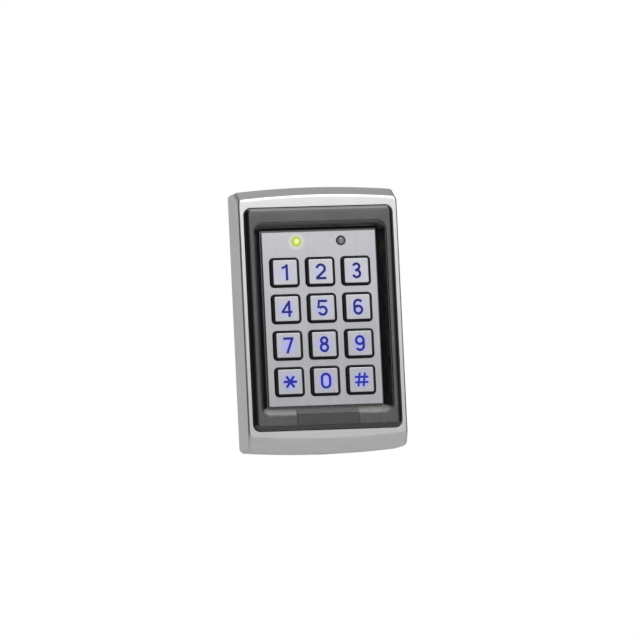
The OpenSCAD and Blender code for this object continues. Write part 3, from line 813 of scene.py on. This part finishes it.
def block(x, up, h):
    """A box between two distances along each direction."""
    points = [place_at(a, b, c) for a in x for b in up for c in h]
    faces = [(0, 1, 3, 2), (4, 6, 7, 5), (0, 4, 5, 1), (2, 3, 7, 6), (0, 2, 6, 4), (1, 5, 7, 3)]
    return points, [list(face) for face in faces]


def make_housing():
    obj = put("housing_shell", loft("housing_shell", housing_rings()))
    lock = place_at(0, 0, LOCK_H)
    cut(obj, pegs_at(COVER_SCREW_AT, COVER_HOLE_R, LEDGE_H - PAST, LEDGE_H + COVER_HOLE_DEPTH)
        + pegs_at(FRAME_SCREW_AT, HEAD_HOLE_R, LEDGE_H - PAST, FRAME_SCREW_SEAT_H)
        + [lathe([(LOCK_HEAD_R, LOCK_HEAD_UP - LOCK_REACH),
                  (LOCK_HEAD_R, LOCK_HEAD_UP + LOCK_SINK)], lock, "Z")])
    cut(obj, pegs_at(FRAME_SCREW_AT, CLEAR_HOLE_R, FRAME_SCREW_SEAT_H - PAST, SEAT_H + PAST)
        + [lathe([(LOCK_SHANK_R, LOCK_HEAD_UP), (LOCK_SHANK_R, LOCK_HEAD_UP + LOCK_REACH)],
                 lock, "Z")])
    width, low, from_h, to_h = RIB
    rib_end = BACK_RECESS[1] / 2 + PAST
    cut(obj, [block((x - width / 2, x + width / 2), (low, rib_end), (from_h, to_h))
              for x in (-HOOK_X, HOOK_X)], "UNION")
    finish_piece(obj, "housing", "front_bezel")


# ---------------------------------------------------------------- inner frame

FRAME_R = 3.1
FRAME_EDGE = 0.3
LIP_W = 2.4
LIP_RISE = 2.1
WELL = (61.2, 87.2, 4.2)
STEP_H = CREST_H - 0.8
SLOPE_LIP = 0.3
SLOPE_RUN = 3.1
SIDE_RUN = 3.4
SLOPE_STEPS = 8
SLOPE_SWELL = 0.42
SWELL_OUT, SWELL_IN = 0.57, 0.82  # the swell's direction: from the wall, and into the well
WINDOW = (48.2, 75.6, 1.6)
FRAME_BACK_H = 15.6
GROOVE = (61.8, 88.8, 2.0)
GROOVE_W = 1.6
GROOVE_TOP_H = 20.4
POST_R = 2.3
POST_TOP_H = SHELF_H - 0.5
POST_HOLE_DEPTH = 3.9
FRAME_HOLE_DEPTH = 3.0
BOARD_FRONT_H = -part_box("circuit_board")[0].y / MM
PLAQUE_BED = 0.5
PLAQUE_GAP = 0.1
PLAQUE_FOOT = -41.1


def plaque_bed():
    """The shallow bed of the name plaque, across the crest and down the slope."""
    half_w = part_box("name_plaque")[1].x / MM + PLAQUE_GAP
    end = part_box("name_plaque")[0].z / MM
    edge = SLOPE_LIP - WELL[1] / 2
    foot_h = STEP_H - (PLAQUE_FOOT - edge) / SLOPE_RUN * (STEP_H - SHELF_H)
    profile = [(CREST_H - PLAQUE_BED, end), (CREST_H + PAST, end), (CREST_H + PAST, edge + PAST),
               (foot_h + PAST, PLAQUE_FOOT + PAST), (foot_h - PLAQUE_BED, PLAQUE_FOOT - PLAQUE_BED),
               (STEP_H - PLAQUE_BED, edge - PLAQUE_BED),
               (CREST_H - PLAQUE_BED, edge - PLAQUE_BED)]
    return stack([[place_at(x, up, h) for h, up in profile] for x in (-half_w, half_w)])


def frame_rings():
    """The frame's section: lip, crest, step, slope, window, coil groove and back. The slope
    swells at the two ends of the well and is straight along its sides."""
    outer = (FRAME_SIZE.x, FRAME_SIZE.z, FRAME_R)
    edge = FRAME_EDGE
    rings = [(grown(outer, 0.0), SEAT_H)]
    rings += [(grown(outer, -LIP_W * (1 - math.cos(a))), CREST_H - LIP_RISE * (1 - math.sin(a)))
              for a in arc(0, 90, 12)]
    rings += [(grown(WELL, edge * (1 - math.sin(a))), CREST_H - edge * (1 - math.cos(a)))
              for a in arc(0, 90, 4)]
    rings += [(grown(WELL, 0.0), STEP_H), (grown(WELL, -SLOPE_LIP), STEP_H)]
    for i in range(1, SLOPE_STEPS + 1):
        part = i / SLOPE_STEPS
        swell = 4 * SLOPE_SWELL * part * (1 - part)
        h = STEP_H - (STEP_H - SHELF_H) * part + swell * SWELL_OUT
        at_ends = SLOPE_LIP + SLOPE_RUN * part + swell * SWELL_IN
        at_sides = SLOPE_LIP + SIDE_RUN * (STEP_H - h) / (STEP_H - SHELF_H)
        rings.append((outline(WELL[0] - 2 * at_sides, WELL[1] - 2 * at_ends,
                              WELL[2] - at_ends), h))
    rings += [(grown(WINDOW, 0.0), SHELF_H), (grown(WINDOW, 0.0), FRAME_BACK_H)]
    rings += [(grown(GROOVE, 0.0), FRAME_BACK_H), (grown(GROOVE, 0.0), GROOVE_TOP_H)]
    rings += [(grown(GROOVE, GROOVE_W), GROOVE_TOP_H), (grown(GROOVE, GROOVE_W), SEAT_H)]
    return rings


def make_frame():
    obj = put("frame_moulding", loft("frame_moulding", frame_rings()))
    cut(obj, pegs_at(BOARD_SCREW_AT, POST_R, BOARD_FRONT_H, POST_TOP_H), "UNION")
    cut(obj, pegs_at(BOARD_SCREW_AT, SMALL_HOLE_R, BOARD_FRONT_H - PAST,
                     BOARD_FRONT_H + POST_HOLE_DEPTH)
        + pegs_at(FRAME_SCREW_AT, SMALL_HOLE_R, SEAT_H - PAST, SEAT_H + FRAME_HOLE_DEPTH)
        + [plaque_bed()])
    finish_piece(obj, "frame", "inner_frame")


# ---------------------------------------------------------------- indicators

BUSH_GAP = 0.05
BUSH_WALL = 0.65
BUSH_RISE = 0.25
BUSH_EDGE = 0.22
BUSH_BACK_H = SHELF_H - 2
BUSH_FLANGE = 0.4
BUSH_FLANGE_H = SHELF_H - 1.2


def make_bushes():
    """A black bush round each light rod, with a rounded mouth and a flange behind the plate."""
    bore, mouth_h, edge = LENS_R + BUSH_GAP, PLATE_H + BUSH_RISE, BUSH_EDGE
    outer = bore + BUSH_WALL
    rim = outer + BUSH_FLANGE
    profile = [(bore, BUSH_BACK_H)]
    profile += [(bore + edge * (1 - math.cos(a)), mouth_h - edge * (1 - math.sin(a)))
                for a in arc(0, 90, 5)]
    profile += [(outer - edge * (1 - math.sin(a)), mouth_h - edge * (1 - math.cos(a)))
                for a in arc(0, 90, 5)]
    profile += [(outer, SHELF_H), (rim, SHELF_H), (rim, BUSH_FLANGE_H), (outer, BUSH_FLANGE_H),
                (outer, BUSH_BACK_H)]
    for side, sign, look in (("left", -1, "bush_lit"), ("right", 1, "bush")):
        points, faces = lathe(profile, place_at(sign * LAMP_X, LAMP_UP, 0))
        faces = faces[:-2] + band(0, (len(profile) - 1) * LATHE_STEPS, LATHE_STEPS)
        name = "lens_bush_" + side
        obj = put(name, mesh_from(name, points, faces))
        finish_piece(obj, look, "lens_holders")


# ---------------------------------------------------------------- keypad mat

MAT_FRONT_H = 11.8
MAT_CORNER_R = 2.0
MAT_WINDOW = (3.0, 2.4, 0.3)
DOME_LEAN = 0.1
DOME_TOP_H = 14.0
DOME_BASE_R = 4.6
DOME_TOP_R = 2.6
DOME_ROUND_R = 0.5
DOME_FOOT = 0.12
DOME_SUNK = 0.02


def make_mat():
    """The mat's sheet, with a window for each lamp, and a dome under each key."""
    low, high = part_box("keypad_mat")
    width, length = (high.x - low.x) / MM, (high.z - low.z) / MM
    middle = (high.z + low.z) / 2 / MM
    sheet_back = -high.y / MM
    sheet = put("mat_sheet", joined("mat_sheet", [
        slab_shape(width, length, MAT_CORNER_R, sheet_back, MAT_FRONT_H, 0.0, middle)]))
    windows = [slab_shape(*MAT_WINDOW, sheet_back - PAST, MAT_FRONT_H + PAST, side * PITCH / 2,
                          KEY_AT[k].z) for side in (-1, 1) for k in ("2", "5", "8", "0")]
    cut(sheet, windows)
    finish_piece(sheet, "silicone", "keypad_mat")
    shoulder = DOME_TOP_R + DOME_LEAN
    profile = [(DOME_BASE_R, MAT_FRONT_H - DOME_SUNK),
               (DOME_BASE_R - DOME_FOOT, MAT_FRONT_H + DOME_FOOT),
               (shoulder, DOME_TOP_H - DOME_ROUND_R)]
    profile += [(shoulder - DOME_ROUND_R * (1 - math.cos(a)),
                 DOME_TOP_H - DOME_ROUND_R * (1 - math.sin(a))) for a in arc(15, 90, 5)]
    for k in KEYS:
        centre = place_at(KEY_AT[k].x, KEY_AT[k].z, 0)
        name = "mat_dome_" + k
        dome = put(name, mesh_from(name, *lathe(profile, centre)))
        finish_piece(dome, "silicone", "keypad_mat")
        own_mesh(dome)


# ---------------------------------------------------------------- carried-over nodes

CARRIED = {  # look, and width of the broken edges
    "name_plaque": ("plaque", 0.12),
    "face_plate": ("plate", 0.12),
    "status_lens_left": ("lens_lit", 0),
    "status_lens_right": ("lens_clear", 0),
    "circuit_board": ("board", 0.08),
    "backlight_leds": ("lamp", 0.05),
    "status_leds": ("lamp", 0.05),
    "buzzer": ("black", 0.15),
    "control_chips": ("black", 0),
    "antenna_coil": ("copper", 0.12),
    "wire_header": ("header", 0.08),
    "tamper_sensor": ("black", 0.08),
    "rear_cover": ("cover", 0.15),
    "cover_seal": ("rubber", 0.1),
    "cable_grommet": ("rubber", 0.2),
    "mounting_plate": ("zinc", 0.12),
    "security_screw": ("screw", 0.08),
    "cover_screws": ("screw", 0.08),
    "small_screws": ("screw", 0.08),
}


def dress_nodes():
    for name, (look, edge) in CARRIED.items():
        dress(name, look)
        if edge:
            soften(name, edge)
    for k in KEYS:
        dress("key_cap_" + k, "cap")
        dress("key_legend_" + k, "legend")
        dress("key_body_" + k, "key")


# ---------------------------------------------------------------- stage, light and camera

FLOOR_UP = -220.0
FLOOR_HALF = 1000.0
WHITE = (1.0, 1.0, 1.0, 1.0)
REFLECTED_LEAST = 0.03
REFLECTED = [  # towards, how narrow, how bright
    ((0.25, -1.0, 0.1), 6.0, 0.6),
    ((0.2, 0.0, 1.0), 9.0, 1.35),
    ((0.2, -0.45, 1.0), 16.0, 3.4),
    ((-0.2, 1.0, 0.0), 3.0, 0.62),
    ((0.0, -0.5, -1.0), 3.0, 0.06),
]
FRONT_BOX = {"where": (140, -500, 260), "size": (700, 400), "power": 1.1}
CLIP = (0.01, 20.0)  # metres


def make_floor():
    corners = [(-1, -1), (1, -1), (1, 1), (-1, 1)]
    points = [Vector((x * FLOOR_HALF, y * FLOOR_HALF, FLOOR_UP)) * MM for x, y in corners]
    mesh = bpy.data.meshes.new("floor")
    mesh.from_pydata(points, [], [(0, 1, 2, 3)])
    floor = put("floor", mesh)
    floor.data.materials.append(stage_look())


def make_world():
    """A white room for the camera. Reflections see a bright front and top and darker sides."""
    world = bpy.data.worlds.new("studio")
    bpy.context.scene.world = world
    world.use_nodes = True
    tree = world.node_tree
    backdrop = tree.nodes["Background"]
    ray = add(tree, "LightPath").outputs["Is Camera Ray"]
    direction = add(tree, "TexCoord").outputs["Generated"]
    level = REFLECTED_LEAST
    for towards, power, strength in REFLECTED:
        axis = Vector(towards).normalized()
        facing = add(tree, "VectorMath", {0: direction, 1: tuple(axis)},
                     operation="DOT_PRODUCT").outputs["Value"]
        facing = math_node(tree, "MAXIMUM", facing, 0.0)
        lobe = math_node(tree, "MULTIPLY", math_node(tree, "POWER", facing, power), strength)
        level = math_node(tree, "ADD", level, lobe)
    light = add(tree, "Background", {"Color": WHITE, "Strength": level})
    backdrop.inputs["Color"].default_value = WHITE
    backdrop.inputs["Strength"].default_value = 1.0
    mix = add(tree, "MixShader", {0: ray, 1: light.outputs[0], 2: backdrop.outputs[0]})
    tree.links.new(mix.outputs[0], tree.nodes["World Output"].inputs["Surface"])


def softbox(name, where, size, power):
    """A rectangular light that faces the reader."""
    light = bpy.data.lights.new(name, "AREA")
    light.shape = "RECTANGLE"
    light.size, light.size_y = size[0] * MM, size[1] * MM
    light.energy = power
    obj = bpy.data.objects.new(name, light)
    bpy.context.scene.collection.objects.link(obj)
    obj.location = Vector(where) * MM
    obj.rotation_euler = (-obj.location).to_track_quat("-Z", "Y").to_euler()


def make_camera():
    camera = bpy.data.objects.new("camera", bpy.data.cameras.new("camera"))
    bpy.context.scene.collection.objects.link(camera)
    camera.data.lens = LENS
    camera.data.sensor_width = SENSOR
    azimuth, elevation = math.radians(VIEW_AZIMUTH), math.radians(VIEW_ELEVATION)
    back = Vector((math.sin(azimuth) * math.cos(elevation),
                   -math.cos(azimuth) * math.cos(elevation), math.sin(elevation)))
    camera.location = (Vector(VIEW_AIM) + back * VIEW_DISTANCE) * MM
    camera.rotation_mode = "QUATERNION"
    turn = (-back).to_track_quat("-Z", "Y")
    camera.rotation_quaternion = turn @ Quaternion((0, 0, 1), math.radians(VIEW_ROLL))
    camera.data.clip_start, camera.data.clip_end = CLIP
    bpy.context.scene.camera = camera


make_camera()
make_housing()
make_frame()
make_bushes()
make_mat()
dress_nodes()
make_floor()
make_world()
softbox("front_box", **FRONT_BOX)
bpy.context.scene.view_settings.view_transform = "Standard"
